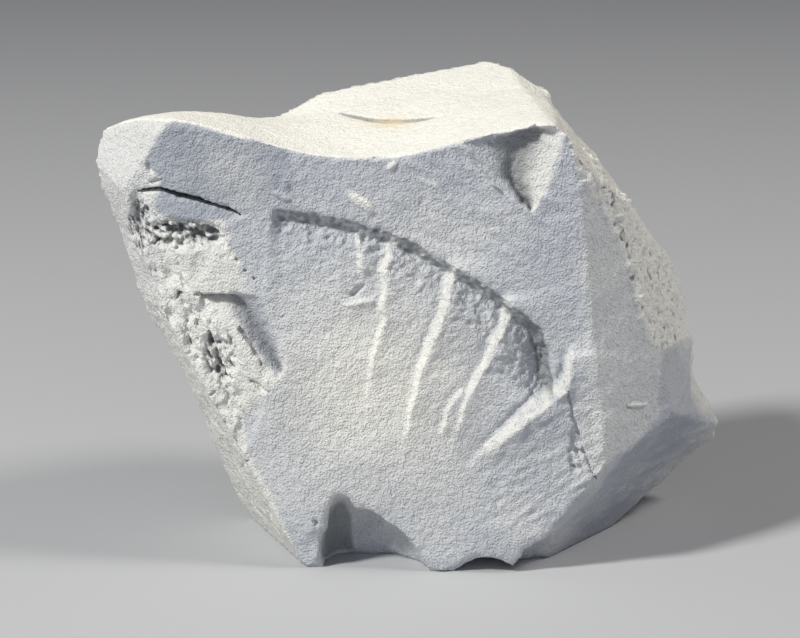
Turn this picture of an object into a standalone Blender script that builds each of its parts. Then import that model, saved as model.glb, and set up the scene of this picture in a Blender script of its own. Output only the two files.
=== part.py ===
"""Lump of kaolin, a soft white clay rock, broken on every side.

Metres, +Z up. The flat foot rests on z = 0, the origin is on it under the middle of the lump, -Y is the broad
front face and +X is to its right. Lengths below are in millimetres and are turned into metres by MM.

The lump starts as a cube. Fracture planes cut it to its facets, rounded bites hollow it, and a fine skin over
the result is then moved in and out for the dished top, the curved scarp, the ribs and the broken left flank.
"""

import math

import bmesh
import bpy
import numpy as np
from mathutils import Matrix, Vector, noise

MM = 0.001

# Driving dimensions
START_CUBE = 140.0
MIDDLE = Vector((0.0, 0.0, 30.0))
SKIN_SPACING = 0.65
TRIANGLES = 9200
FOOT_SNAP = 0.35
FLAT = 0.05

# The front's markings are laid out on an upright plane at FRONT_PLANE, as an eye sees them that looks along +Y
# and down by LOOK_DOWN from EYE_DISTANCE away.
FRONT_PLANE = -20.0
LOOK_DOWN = math.radians(14.0)
EYE_DISTANCE = 370.0
EYE_AIM = (0.0, 0.0, 30.4)

# Each fracture plane: the azimuth of its outward direction, from the front toward the right, and its elevation,
# in degrees, then its distance from MIDDLE.
FRACTURES = {
    "front": (-3, 0, 18.6),
    "left flank": (-22, -6.5, 23.6),
    "left edge": (-66.5, -15, 31.9),
    "left brow": (-43.5, 11.5, 38.9),
    "right chamfer": (39, 4, 31.6),
    "top chamfer": (92, 60, 36.6),
    "upper shoulder": (91, 38, 34.9),
    "lower shoulder": (71, 12.5, 35.8),
    "lower right": (54.5, -32, 36.4),
    "left underside": (-68, -25, 29.1),
    "left foot": (-130, -40, 33.3),
    "top": (8, 87.8, 32.2),
    "back left": (-143, 0, 17.8),
    "back": (-158, 3, 18.8),
    "back step": (172, -5, 24.0),
    "back right": (125, 20, 33.8),
    "back foot": (175, -45, 31.5),
    "right foot": (95, -58, 41.2),
    "foot": (0, -90, 30),
}

# How far the top lies below its fracture plane at spots (x, y): a valley from the front's middle to the back
# left
TOP_DROPS = (
    ((-40, -8), 3.8),
    ((-36, -9), 2.2),
    ((-30, -17), 0.6),
    ((-25, 3.5), 3.6),
    ((-17, 9.5), 5.2),
    ((-14, 11.5), 4.0),
    ((-7, 17), 2.3),
    ((4, 21), 1.2),
    ((13, 25), 0.0),
    ((22, 12), 0.0),
    ((23, -20), 0.0),
    ((18, -18), 0.2),
    ((8, -20), 2.6),
    ((0, -20), 4.5),
    ((-14, -19.5), 4.0),
)
TOP_FADE = (36.0, 60.0)

# Rounded bites: centre, half sizes, and turn about Y in degrees
BITES = {
    "front notch, left": ((-7.6, -20, 2.5), (3.5, 6.2, 8.6), 0),
    "front notch, right": ((-3.4, -20.2, 1.3), (8.8, 5.6, 6.0), 41),
    "front arch left": ((-4, -19, -2.4), (9, 9, 3.4), 0),
    "front arch right": ((11.8, -20, -1.4), (4.6, 8, 3.4), 0),
    "rim step": ((19.5, 22, 62.5), (4.2, 7, 2.6), 25),
    "right corner chip": ((19.0, -17.5, 0.5), (3.6, 4.0, 4.2), 0),
    "right tip nick": ((47, -1, 23.5), (6.4, 15, 9.5), 8),
    "back scoop": ((5, 44, 33), (21, 24.3, 17), 20),
    "back left scoop": ((-35, 17, 25), (20, 20, 19), 0),
    "back right scoop": ((36.5, 26, 44), (17, 17, 15), 0),
    "underside scoop": ((16, 14, -13.5), (14, 11, 15), 0),
}

# The scarp curves across the front. Below it the face is hollow, and comes forward again further down.
SCARP = (
    (-17.2, 50.8), (-13, 50.2), (-9.1, 49.6), (-6.5, 48.9), (-3.6, 48.1), (-1.3, 47.3), (0.8, 46.5),
    (2.6, 45.6), (5.6, 43.7), (8.2, 42.4), (10.4, 40.9), (13.1, 39), (15.3, 37.3), (17.2, 35.8), (18.8, 34),
    (19.7, 31.2), (20.4, 27.1),
)
SCARP_DEPTH = 1.7
SCARP_WIDTH = 2.1
SCARP_RECOVERY = 6.0

# Ribs that fan down from the scarp: path from top to bottom, height, and width of the steep left side
RIBS = (
    (((-5.6, 47.5), (-5.5, 43), (-5.2, 39)), 0.7, 1.0),
    (((0.3, 46.5), (-1.8, 44.8), (-2.6, 38), (-2.9, 34), (-4.2, 27.5), (-5.2, 20)), 1.1, 1.2),
    (((6.5, 44.5), (6.1, 39.3), (4.2, 32), (1.7, 25.5), (-0.4, 18.5)), 1.2, 1.2),
    (((13.8, 40.5), (13.6, 36), (11.2, 31.3), (8.5, 25.7), (7.6, 21.5), (5.8, 17.5)), 1.2, 1.2),
    (((23, 32), (22, 28.5), (18.5, 25), (14.6, 21.6), (9.6, 15.8)), 1.6, 1.6),
)
RIB_FALL = 3.2

# The open crack over the left flank, and the recess and chip under the front's right top corner
CRACK = ((-34.5, 52.3), (-31, 52.4), (-28, 51.8), (-24.7, 50.9), (-22.5, 50.2), (-20.5, 49.2))
CRACK_DEPTH = 1.8
CRACK_WIDTH = 0.9
RECESS_EDGE = ((7.5, 59.0), (9.0, 57.0), (11.0, 54.6), (12.8, 52.6))
CHIP_EDGE = ((21.0, 61.3), (20.6, 57.5), (19.4, 53.8), (16.9, 49.6))
CHIP_VALLEY = ((18.0, 61.1), (16.2, 58.2), (14.9, 55.3), (14.5, 52.6), (15.2, 50.6))
CHIP_DEPTH = 1.5

# Shallow bowls of the broken left flank: centre, half sizes, turn in degrees, depth
BOWLS = (
    ((-27.0, 48.2), (7.5, 3.0), -12, 1.5),
    ((-22.0, 43.0), (3.6, 3.2), 0, 0.9),
    ((-19.5, 34.0), (4.2, 7.4), -22, 1.9),
    ((-24.5, 31.5), (3.0, 5.0), -30, 1.0),
    ((-31.0, 41.0), (3.5, 6.0), -15, 0.7),
)
RUBBLE = ((-29.0, 46.5, 6.0, 3.0), (-23.5, 31.5, 4.0, 6.0), (-34.0, 44.0, 2.5, 9.0))
RUBBLE_SIZE = 1.9
RUBBLE_DEPTH = 0.9

SWELL_SIZE = 13.0
SWELL_HEIGHT = 0.45
LUMP_SIZE = 4.5
LUMP_HEIGHT = 0.16

CLAY_COLOUR = (0.80, 0.78, 0.71, 1.0)


def clear_scene():
    for thing in list(bpy.data.objects):
        bpy.data.objects.remove(thing, do_unlink=True)


def collection(name):
    made = bpy.data.collections.new(name)
    bpy.context.scene.collection.children.link(made)
    return made


def clay():
    material = bpy.data.materials.new("kaolin clay")
    material.use_nodes = True
    shader = material.node_tree.nodes["Principled BSDF"]
    shader.inputs["Base Color"].default_value = CLAY_COLOUR
    shader.inputs["Roughness"].default_value = 0.95
    shader.inputs["Metallic"].default_value = 0.0
    return material


def direction(azimuth, elevation):
    a = math.radians(azimuth)
    e = math.radians(elevation)
    return Vector((math.cos(e) * math.sin(a), -math.cos(e) * math.cos(a), math.sin(e)))


def faceted_block():
    """The cube after every fracture plane has taken off what lies outside it."""
    bm = bmesh.new()
    bmesh.ops.create_cube(bm, size=START_CUBE * MM)
    for azimuth, elevation, distance in FRACTURES.values():
        outward = direction(azimuth, elevation)
        cut = bmesh.ops.bisect_plane(
            bm,
            geom=bm.verts[:] + bm.edges[:] + bm.faces[:],
            plane_co=(MIDDLE + outward * distance) * MM,
            plane_no=outward,
            clear_outer=True,
        )
        rim = [item for item in cut["geom_cut"] if isinstance(item, bmesh.types.BMEdge)]
        bmesh.ops.contextual_create(bm, geom=rim)
    bmesh.ops.recalc_face_normals(bm, faces=bm.faces[:])
    mesh = bpy.data.meshes.new("faceted block")
    bm.to_mesh(mesh)
    bm.free()
    return mesh


def add_bites(lump, cutters):
    for name, (centre, half_sizes, turn) in BITES.items():
        bm = bmesh.new()
        bmesh.ops.create_icosphere(bm, subdivisions=4, radius=1.0)
        scale = Matrix.Diagonal((*(size * MM for size in half_sizes), 1.0))
        place = Matrix.Translation(Vector(centre) * MM) @ Matrix.Rotation(math.radians(turn), 4, "Y")
        bmesh.ops.transform(bm, matrix=place @ scale, verts=bm.verts[:])
        mesh = bpy.data.meshes.new(name)
        bm.to_mesh(mesh)
        bm.free()
        cutter = bpy.data.objects.new(name, mesh)
        cutter.hide_render = True
        cutter.display_type = "WIRE"
        cutters.objects.link(cutter)
        cut = lump.modifiers.new(name, "BOOLEAN")
        cut.operation = "DIFFERENCE"
        cut.solver = "EXACT"
        cut.object = cutter


def take_shape(lump):
    """Makes the object's mesh what its modifiers show, and drops the modifiers."""
    bpy.context.view_layer.update()
    graph = bpy.context.evaluated_depsgraph_get()
    mesh = bpy.data.meshes.new_from_object(lump.evaluated_get(graph))
    lump.modifiers.clear()
    lump.data = mesh
    mesh.name = lump.name


def fine_skin(lump):
    """Replaces the faceted mesh and its bites by an even skin, fine enough to be moved point by point."""
    skin = lump.modifiers.new("skin", "REMESH")
    skin.mode = "VOXEL"
    skin.voxel_size = SKIN_SPACING * MM
    take_shape(lump)


def smoothstep(low, high, value):
    t = np.clip((value - low) / (high - low), 0.0, 1.0)
    return t * t * (3.0 - 2.0 * t)


def as_seen(points):
    """Each point's place (u, v) on the upright front plane, as the eye of the layout sees it."""
    c = math.cos(LOOK_DOWN)
    s = math.sin(LOOK_DOWN)
    eye = np.array(EYE_AIM) + EYE_DISTANCE * np.array((0.0, -c, s))
    ray = points - eye
    reach = (FRONT_PLANE - eye[1]) / ray[:, 1]
    return eye[0] + ray[:, 0] * reach, eye[2] + ray[:, 2] * reach


def along(path, u, v):
    """For each point, the distance from the path, positive on its left, and how far along the path, 0 to 1."""
    corners = np.array(path, float)
    lengths = np.linalg.norm(np.diff(corners, axis=0), axis=1)
    starts = np.concatenate([[0.0], np.cumsum(lengths)])
    best = np.full(len(u), np.inf)
    side = np.zeros(len(u))
    share = np.zeros(len(u))
    for k, (a, b) in enumerate(zip(corners, corners[1:])):
        d = (b - a) / lengths[k]
        du = u - a[0]
        dv = v - a[1]
        t = np.clip(du * d[0] + dv * d[1], 0.0, lengths[k])
        gap = np.hypot(du - t * d[0], dv - t * d[1])
        nearer = gap < best
        best = np.where(nearer, gap, best)
        side = np.where(nearer, np.sign(d[0] * dv - d[1] * du), side)
        share = np.where(nearer, (starts[k] + t) / starts[-1], share)
    return best * side, share


def rounded(path, steps=5):
    """The path with curved corners: points of a Catmull-Rom curve through it."""
    p = np.array([path[0], *path, path[-1]], float)
    out = []
    for a, b, c, d in zip(p, p[1:], p[2:], p[3:]):
        bend = 2 * a - 5 * b + 4 * c - d
        twist = 3 * b - a - 3 * c + d
        for t in np.arange(steps) / steps:
            out.append(0.5 * (2 * b + (c - a) * t + bend * t**2 + twist * t**3))
    out.append(p[-1])
    return out


def inside(outline, u, v):
    """How deep each point is inside a closed outline, negative outside it."""
    closed = [*outline, outline[0]]
    gap, _ = along(closed, u, v)
    within = np.zeros(len(u), bool)
    for a, b in zip(closed, closed[1:]):
        crosses = (a[1] > v) != (b[1] > v)
        rise = b[1] - a[1] or 1e-9
        within ^= crosses & (u < (b[0] - a[0]) * (v - a[1]) / rise + a[0])
    return np.where(within, np.abs(gap), -np.abs(gap))


def top_sheet(x, y):
    """The top's drop at (x, y): the smooth thin plate through TOP_DROPS."""
    spots = np.array([spot for spot, _ in TOP_DROPS], float)
    drops = np.array([drop for _, drop in TOP_DROPS])

    def bend(r):
        return r**2 * np.log(np.maximum(r, 1e-6))

    count = len(spots)
    plain = np.column_stack([np.ones(count), spots])
    between = np.linalg.norm(spots[:, None] - spots[None], axis=2)
    system = np.block([[bend(between), plain], [plain.T, np.zeros((3, 3))]])
    weights = np.linalg.solve(system, np.concatenate([drops, np.zeros(3)]))
    points = np.column_stack([x, y])
    reach = np.linalg.norm(points[:, None] - spots[None], axis=2)
    return bend(reach) @ weights[:count] + weights[count] + points @ weights[count + 1 :]


def scarp_relief(u, v):
    side, share = along(rounded(SCARP), u, v)
    below = -side
    ends = smoothstep(0.0, 0.05, share) * (1.0 - smoothstep(0.93, 1.0, share))
    past = np.maximum(below - SCARP_WIDTH, 0.0)
    hollow = smoothstep(0.0, SCARP_WIDTH, below) * np.exp(-past / SCARP_RECOVERY)
    return -SCARP_DEPTH * hollow * ends


def rib_relief(u, v):
    total = np.zeros(len(u))
    for path, height, steep in RIBS:
        side, share = along(rounded(path), u, v)
        strength = height * smoothstep(0.0, 0.15, share) * (1.0 - 0.85 * smoothstep(0.35, 1.0, share))
        rise = smoothstep(-steep, 0.0, side)
        fall = np.exp(-np.maximum(side, 0.0) / RIB_FALL)
        ends = (share > 0.0) & (share < 1.0)
        total = np.maximum(total, strength * rise * fall * ends)
    return total


def chip_relief(u, v):
    """A valley under the top right corner, between a thin raised edge on its left and a chip on its right."""
    left = along(rounded(RECESS_EDGE), u, v)[0]
    right = along(rounded(CHIP_EDGE), u, v)[0]
    valley = along(rounded(CHIP_VALLEY), u, v)[0]
    in_recess = inside([*RECESS_EDGE, *reversed(CHIP_VALLEY[:-1])], u, v) > 0.0
    in_chip = inside([*CHIP_EDGE, *reversed(CHIP_VALLEY)], u, v) > 0.0
    far = np.where(in_chip, np.abs(right), np.abs(left))
    return -CHIP_DEPTH * far / (far + np.abs(valley) + 0.01) * (in_recess | in_chip)


def flank_relief(u, v):
    total = np.zeros(len(u))
    for (cu, cv), (ru, rv), turn, depth in BOWLS:
        c = math.cos(math.radians(turn))
        s = math.sin(math.radians(turn))
        du = (u - cu) * c + (v - cv) * s
        dv = (v - cv) * c - (u - cu) * s
        total = np.minimum(total, -depth * (1.0 - np.minimum((du / ru) ** 2 + (dv / rv) ** 2, 1.0)))
    side, share = along(CRACK, u, v)
    mouth = CRACK_WIDTH * (1.0 - 0.6 * share)
    open_here = (share > 0.0) & (share < 1.0)
    return total - CRACK_DEPTH * np.clip(1.0 - np.abs(side) / mouth, 0.0, 1.0) * open_here


def rubble_relief(points, u, v):
    """Small broken lumps with pits between them, in the patches of RUBBLE."""
    patch = np.zeros(len(u))
    for cu, cv, ru, rv in RUBBLE:
        patch = np.maximum(patch, 1.0 - smoothstep(0.6, 1.1, np.hypot((u - cu) / ru, (v - cv) / rv)))
    lumps = np.zeros(len(u))
    for k in np.flatnonzero(patch > 0.0):
        near, second = noise.voronoi(Vector(points[k] / RUBBLE_SIZE))[0][:2]
        lumps[k] = min(1.0, 2.2 * (second - near)) - 0.75
    return RUBBLE_DEPTH * patch * lumps


def swell(points):
    """Slow swells and small lumps over the whole surface."""
    rise = np.empty(len(points))
    for k, point in enumerate(points):
        slow = noise.noise(Vector(point / SWELL_SIZE))
        small = noise.noise(Vector(point / LUMP_SIZE + 40.0))
        rise[k] = SWELL_HEIGHT * slow + LUMP_HEIGHT * small
    return rise


def shape_skin(mesh):
    count = len(mesh.vertices)
    flat = np.empty(count * 3, np.float32)
    mesh.vertices.foreach_get("co", flat)
    points = flat.reshape(-1, 3).astype(float) / MM
    mesh.vertex_normals.foreach_get("vector", flat)
    normals = flat.reshape(-1, 3).astype(float)

    on_foot = (points[:, 2] < FOOT_SNAP) & (normals[:, 2] < -0.9)
    off_foot = smoothstep(0.5, 4.0, points[:, 2])
    points += normals * (swell(points) * off_foot)[:, None]
    points[:, 2] -= top_sheet(points[:, 0], points[:, 1]) * smoothstep(*TOP_FADE, points[:, 2])

    u, v = as_seen(points)
    facing = smoothstep(0.15, 0.6, -normals[:, 1]) * off_foot
    forward = scarp_relief(u, v) + rib_relief(u, v) + flank_relief(u, v) + rubble_relief(points, u, v)
    forward += chip_relief(u, v)
    points[:, 1] -= forward * facing

    points[on_foot, 2] = 0.0
    points[:, 2] = np.maximum(points[:, 2], 0.0)
    mesh.vertices.foreach_set("co", (points * MM).astype(np.float32).ravel())
    mesh.update()


def thin_out(lump):
    """Fewer triangles where the surface is plain, most of them kept for edges, ribs and pits."""
    lump.data.calc_loop_triangles()
    thin = lump.modifiers.new("thin out", "DECIMATE")
    thin.decimate_type = "COLLAPSE"
    thin.ratio = TRIANGLES / len(lump.data.loop_triangles)
    thin.use_collapse_triangulate = True
    take_shape(lump)


def settle(mesh):
    """Puts every point that lies within FLAT of the foot's plane on it."""
    for vertex in mesh.vertices:
        if vertex.co.z < FLAT * MM:
            vertex.co.z = 0.0


def main():
    clear_scene()
    parts = collection("kaolin")
    cutters = collection("bites")
    lump = bpy.data.objects.new("kaolin_lump", faceted_block())
    parts.objects.link(lump)
    add_bites(lump, cutters)
    fine_skin(lump)
    shape_skin(lump.data)
    thin_out(lump)
    settle(lump.data)
    lump.data.materials.clear()
    lump.data.materials.append(clay())


main()
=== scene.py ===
import math

import bmesh
import bpy
import numpy as np
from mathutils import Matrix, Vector, noise


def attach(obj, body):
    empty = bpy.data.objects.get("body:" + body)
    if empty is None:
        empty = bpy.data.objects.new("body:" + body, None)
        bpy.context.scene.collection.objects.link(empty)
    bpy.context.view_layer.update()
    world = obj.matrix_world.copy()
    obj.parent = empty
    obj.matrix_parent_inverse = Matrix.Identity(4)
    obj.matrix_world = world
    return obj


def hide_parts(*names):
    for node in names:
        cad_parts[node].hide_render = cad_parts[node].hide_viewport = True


bl_info = {
    "name": "Kaolin Lump",
    "version": (1, 0, 0),
    "blender": (4, 5, 0),
    "location": "View3D > Sidebar > Kaolin",
    "description": "Builds a broken lump of white clay rock and a plain stage for it",
    "category": "Add Mesh",
}

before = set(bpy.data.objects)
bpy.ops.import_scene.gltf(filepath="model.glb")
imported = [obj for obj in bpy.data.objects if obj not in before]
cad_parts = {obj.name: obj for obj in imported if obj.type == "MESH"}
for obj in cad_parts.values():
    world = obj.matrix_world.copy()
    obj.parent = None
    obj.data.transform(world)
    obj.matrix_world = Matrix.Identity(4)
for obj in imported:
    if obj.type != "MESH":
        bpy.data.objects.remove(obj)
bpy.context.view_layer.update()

# Lengths below are in millimetres and angles in degrees, unless a comment says otherwise.
MM = 0.001
NODE = "kaolin_lump"

# The eye that the front's markings are laid out for: it looks along +Y and down, and they are drawn on an
# upright plane through the front.
FRONT_PLANE = -20.0
LOOK_DOWN = math.radians(14.0)
EYE_DISTANCE = 370.0
EYE_AIM = (0.0, 0.0, 30.4)

# Fracture planes: azimuth of the outward direction from the front toward the right, elevation, distance
MIDDLE = Vector((0.0, 0.0, 30.0))
FRACTURES = {
    "front": (-3, 0, 18.6),
    "left flank": (-22, -6.5, 23.6),
    "left edge": (-66.5, -15, 31.9),
    "left brow": (-43.5, 11.5, 38.9),
    "right chamfer": (39, 4, 31.6),
    "top chamfer": (92, 60, 36.6),
    "upper shoulder": (91, 38, 34.9),
    "lower shoulder": (71, 12.5, 35.8),
    "lower right": (54.5, -32, 36.4),
    "left underside": (-68, -25, 29.1),
    "left foot": (-130, -40, 33.3),
    "top": (8, 87.8, 32.2),
    "back left": (-143, 0, 17.8),
    "back": (-158, 3, 18.8),
    "back step": (172, -5, 24.0),
    "back right": (125, 20, 33.8),
    "back foot": (175, -45, 31.5),
    "right foot": (95, -58, 41.2),
    "foot": (0, -90, 30),
}

# Rounded bites: centre, half sizes, turn about Y
BITES = {
    "front notch, left": ((-7.8, -20, 2.5), (2.7, 9.0, 8.3), 0),
    "front notch, middle": ((-6.2, -20, 3.6), (4.6, 9.0, 5.3), 41),
    "front notch, right": ((-3.5, -20.2, 0.1), (8.6, 9.0, 6.4), 43),
    "front arch left": ((-4, -19, -2.4), (9, 9, 3.4), 0),
    "front arch right": ((11.8, -20, -1.4), (4.6, 8, 3.4), 0),
    "right corner chip": ((19.0, -17.5, 0.5), (3.6, 4.0, 4.2), 0),
    "rim step": ((19.5, 22, 62.5), (4.2, 7, 2.6), 25),
    "right tip nick": ((47, -1, 23.5), (6.4, 15, 9.5), 8),
    "back scoop": ((5, 44, 33), (21, 24.3, 17), 20),
    "back left scoop": ((-35, 17, 25), (20, 20, 19), 0),
    "back right scoop": ((36.5, 26, 44), (17, 17, 15), 0),
    "underside scoop": ((16, 14, -13.5), (14, 11, 15), 0),
}

# How far the top lies below its fracture plane at spots (x, y), and the heights between which that fades in
TOP_DROPS = (
    ((-40, -8), 3.8),
    ((-36, -9), 2.2),
    ((-30, -17), 0.6),
    ((-25, 3.5), 3.6),
    ((-17, 9.5), 5.2),
    ((-14, 11.5), 4.0),
    ((-7, 17), 2.3),
    ((4, 21), 1.2),
    ((13, 25), 0.0),
    ((22, 12), 0.0),
    ((23, -20), 0.0),
    ((18, -18), 0.2),
    ((8, -20), 2.6),
    ((0, -20), 4.5),
    ((-14, -19.5), 4.0),
)
TOP_FADE = (36.0, 60.0)

START_CUBE = 140.0

# The skin: edges are brought out to their fracture planes from within EDGE_REACH, but not within BITE_MARGIN
# of a bite. Faces whose corners the markings part by more than BENT are split again. What is lower than
# FOOT_SNAP and faces down is laid flat on the ground.
EDGE_REACH = 0.75
BITE_MARGIN = 1.2
BENT = 0.27
FOOT_SNAP = 0.35

# The scarp across the front, from its left end; the width of its wall; and how the face comes forward again
# below it, as two shares of the scarp's depth, each with the distance that it fades over
SCARP = (
    (-30, 53), (-16.6, 50.7), (-13, 50.2), (-9.1, 49.6), (-6.5, 48.9), (-3.6, 48.1), (-1.3, 47.3),
    (0.8, 46.5), (2.6, 45.6), (5.6, 43.7), (8.2, 42.4), (10.4, 40.9), (13.1, 39), (15.3, 37.3),
    (17.2, 35.8), (18.8, 34), (19.7, 31.2), (20.4, 27.1), (22, 18), (24, 2),
)
SCARP_WIDTH = 2.0
SCARP_RECOVERY = ((0.62, 2.0), (0.38, 10.0))

# The ribs that fan down from the scarp: path from the top, height as a share of a full rib, width of the
# steep left side at the top and halfway down, and how far down the rib keeps its height. The easy right side
# falls over RIB_FALL.
RIBS = (
    (((-5.0, 47.5), (-5.1, 46.2), (-5.0, 44.6), (-5.1, 42.2), (-5.4, 40.4)), 0.8, (0.9, 0.75), 0.7),
    (((1.0, 46.1), (0.2, 45.8), (-0.8, 44.9), (-1.4, 43.4), (-1.7, 41.3), (-1.8, 38.6), (-2.3, 36.8),
      (-1.8, 35.6), (-2.5, 33.7), (-3.0, 31.8), (-3.5, 29.8), (-4.0, 27), (-4.6, 23)),
     1.1, (1.4, 0.65), 0.5),
    (((7.3, 44.0), (7.4, 42.4), (7.0, 40.0), (6.3, 37.3), (5.4, 34.6), (4.0, 31.2), (2.7, 27.8),
      (1.9, 24.4), (1.2, 20.9), (0.3, 17.2)), 1.2, (1.4, 1.0), 0.7),
    (((10.9, 40.8), (9.8, 38.5), (9.0, 36.4), (8.6, 34.8)), 0.35, (0.5, 0.3), 0.4),
    (((14.4, 39.4), (14.6, 37.2), (14.1, 34.6), (12.8, 32.1), (11.5, 29.1), (9.7, 26.1), (8.7, 23.7),
      (7.8, 20.9), (6.4, 17.6)), 1.2, (1.3, 1.0), 0.7),
    (((8.6, 25.8), (7, 24.1), (6.2, 21.9), (5.2, 18.8)), 0.6, (0.7, 0.6), 0.7),
    (((22.6, 32.0), (22.5, 28.5), (21.9, 26.2), (20.7, 24.7), (18.9, 23.2), (17.2, 21.8), (15.5, 20.4),
      (13.3, 18.6), (11, 16.6), (9.0, 14.6)), 1.45, (0.6, 1.9), 0.6),
)
RIB_FALL = 2.8

# Small ledges: path with the high side on its left, height, width of the step, how far it fades behind
LEDGES = (
    (((-3.2, 38.5), (-5.0, 38.2), (-6.3, 37.9), (-7.6, 37.4)), 0.6, 0.6, 1.0),
    (((-16.6, 50.0), (-17.2, 47.2), (-17.5, 43.5), (-17.3, 39.5)), 0.2, 0.3, 3.0),
    (((-14.2, 57.4), (-13.4, 55.4), (-13.2, 53.4)), 0.25, 0.3, 1.0),
)

# Thin open grooves: path, depth, half width
CRACK = ((-34.0, 52.4), (-31.1, 52.6), (-28.2, 51.8), (-25.3, 51), (-22.7, 50.3), (-20.2, 49.0))
GROOVES = (
    (CRACK, 2.4, 0.22),
    (((-21.4, 34.3), (-20.1, 32.5), (-19.1, 30.6), (-18.2, 28.8)), 0.7, 0.2),
    (((-23.9, 27.4), (-22.9, 25.2), (-21.4, 22.6)), 0.5, 0.2),
    (((-25.1, 33.8), (-24.4, 31.0), (-23.0, 28.0)), 1.2, 0.28),
    (((-19.8, 26.9), (-19.0, 26.6), (-18.2, 25.6), (-17.2, 25.1)), 0.6, 0.28),
    (((21.3, 28.6), (22.4, 24.4), (23.3, 20.9), (24.3, 17.8), (25.2, 15.4), (26.2, 13.0)), 0.5, 0.17),
    (((16.6, 34.4), (17.6, 31.4), (18.6, 28.6)), 0.4, 0.18),
)

# Sloping breaks: the deep line, the edge that the slope rises to, and the depth at the deep line
LIP = (
    (-33.4, 51.4), (-32.2, 50.2), (-30.9, 48.9), (-28.8, 48.2), (-27, 47.8), (-25.3, 48.4), (-23.1, 48.5),
    (-20.4, 49.0),
)
CHIP_VALLEY = (
    (17.9, 61.3), (16.5, 59.9), (15.2, 58.2), (14.5, 55.9), (14.4, 54.2), (15.3, 52.3), (17.1, 49.7),
)
RECESS_EDGE = (
    (7.7, 59.4), (8.3, 58.3), (9.7, 56.5), (11.1, 54.7), (12.7, 52.9), (14.9, 51.2), (17.1, 49.6),
)
SCOOP_VALLEY = (
    (-25.9, 38.3), (-22.9, 38.5), (-20.9, 37.7), (-19.8, 35.8), (-18.5, 33.2), (-17.2, 30.9), (-15.6, 27.8),
)
SLOPES = (
    (CHIP_VALLEY, RECESS_EDGE, 2.3),
    (CHIP_VALLEY, ((21.4, 61.3), (20.8, 58.1), (20.1, 55.9), (19.2, 53.3), (17.3, 49.6)), 2.3),
    (CRACK, LIP, 0.35),
    (((-33.2, 50.6), (-32, 49.6), (-30.7, 48.3), (-28.8, 47.6), (-27, 47.3), (-25.3, 47.9), (-23.7, 47.1),
      (-22.3, 45.4)),
     ((-34, 48.4), (-32.2, 46.3), (-29.7, 45.4), (-27.3, 44.3), (-24.7, 43.9), (-22.3, 44.9)), 1.1),
    (SCOOP_VALLEY,
     ((-26.0, 38.7), (-23.3, 38.9), (-20.9, 38.8), (-18.8, 38.3), (-17, 36.4), (-15.4, 32.8), (-14.9, 30.1),
      (-15.3, 27.7)), 1.7),
    (SCOOP_VALLEY,
     ((-26.2, 38.1), (-25.4, 35.8), (-23.4, 33.6), (-21.3, 31.6), (-19.7, 29.2), (-18.2, 27.2),
      (-15.5, 27.4)), 1.7),
)

# The top rim over the recess and the chip, where their slopes fade out
RIM = ((0, 58.9), (7.1, 58.9), (10.3, 59.5), (14.2, 60.4), (17.6, 61.2), (20.9, 60.9), (24, 60.9))

# Dents, or bosses where the depth is negative: centre, half sizes, turn and depth
DENTS = (
    ((-31.5, 42.5), (2.8, 4.4), -15, 0.5),
    ((-34.2, 48.6), (1.0, 2.8), 0, 0.9),
    ((-32.4, 55.6), (0.35, 0.9), 15, 0.5),
    ((-31.5, 53.9), (0.9, 0.25), 20, 0.6),
    ((-26.0, 42.6), (1.2, 2.6), -25, 0.35),
    ((-5.7, 39.1), (1.3, 0.55), 40, 0.7),
    ((-4.9, 50.9), (2.4, 0.75), -38, -0.55),
    ((-15.3, 51.9), (1.4, 0.6), -20, -0.5),
    ((-3.0, 47.4), (0.6, 0.3), 25, 0.4),
    ((-1.0, 56.0), (1.0, 0.4), 50, -0.35),
    ((4.0, 53.6), (2.0, 0.3), -25, -0.2),
    ((-14.6, 53.9), (0.5, 1.6), -10, -0.3),
    ((-3.0, 57.2), (0.3, 1.0), 0, 0.5),
    ((31.4, 23.8), (1.5, 0.35), 6, -0.7),
    ((-20.3, 20.8), (1.5, 4.6), -24, 0.4),
    ((-24.7, 25.2), (0.35, 0.7), -35, 0.7),
    ((-20.6, 15.4), (0.35, 1.1), -40, 0.7),
    ((-26.2, 38.7), (0.7, 0.4), 0, 0.9),
    ((-28.9, 38.6), (0.3, 0.6), -20, 1.3),
    ((-11.3, 7.4), (0.25, 0.8), 8, 0.7),
    ((-11.6, 3.6), (1.4, 3.0), -8, 0.4),
    ((19.4, 29.0), (0.9, 3.8), 8, 1.1),
    ((39.6, 27.1), (0.8, 1.2), 0, 0.9),
    ((38.2, 29.8), (0.5, 0.6), 30, 0.6),
    ((41.2, 25.0), (0.4, 0.8), 0, 0.5),
    ((-22.4, 44.3), (0.36, 0.2), -40, 0.6),
    ((-21.3, 43.2), (0.36, 0.2), -40, 0.6),
    ((-20.2, 42.0), (0.3, 0.2), -40, 0.6),
    ((-19.1, 40.8), (0.36, 0.2), -40, 0.6),
)

# Patches of broken, flaky clay: centre, half sizes, turn of its flakes, their size, depth
RUBBLE = (
    ((-28.4, 46.7), (5.8, 2.0), -14, 0.75, 1.4),
    ((-23.6, 30.2), (2.4, 3.8), -58, 0.9, 1.2),
    ((-33.9, 48.2), (1.5, 4.6), -75, 0.8, 0.9),
    ((-30.2, 39.5), (3.0, 5.5), -58, 1.3, 0.6),
    ((-26.6, 33.5), (2.2, 4.5), -58, 1.0, 0.7),
    ((-22.4, 22.5), (2.2, 6.0), -58, 1.0, 0.5),
    ((23.2, 17.6), (0.9, 3.4), -70, 0.9, 0.7),
    ((18.0, 30.5), (1.3, 3.6), -70, 0.9, 0.35),
)

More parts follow.
